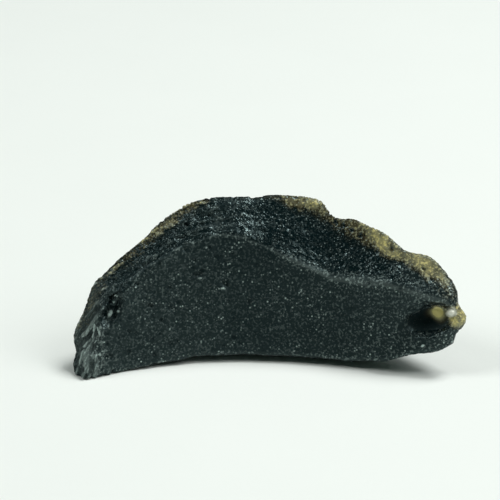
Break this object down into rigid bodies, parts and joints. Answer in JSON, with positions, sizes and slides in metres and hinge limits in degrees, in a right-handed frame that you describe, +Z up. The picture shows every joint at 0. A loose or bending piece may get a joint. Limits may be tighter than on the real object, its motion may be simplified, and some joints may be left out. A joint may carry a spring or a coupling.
{
  "type": "tektite",
  "caption": "Crescent-shaped fragment of dark natural glass with a pitted skin, a thin crest tinged olive and a burst bubble; rests on its base as a specimen.",
  "frame": {"origin": "centre of the bounding box's base, on the surface the stone rests on", "axes": "+X along the stone's length, +Y to its back, +Z up; the hollow face looks to -Y"},
  "size_m": [0.0424, 0.0124, 0.017],
  "materials": {
    "black_glass": "near-black natural glass with a dull, finely pitted skin, olive where it is thin"
  },
  "bodies": {
    "root": {"tektite": "black_glass"}
  },
  "joints": []
}
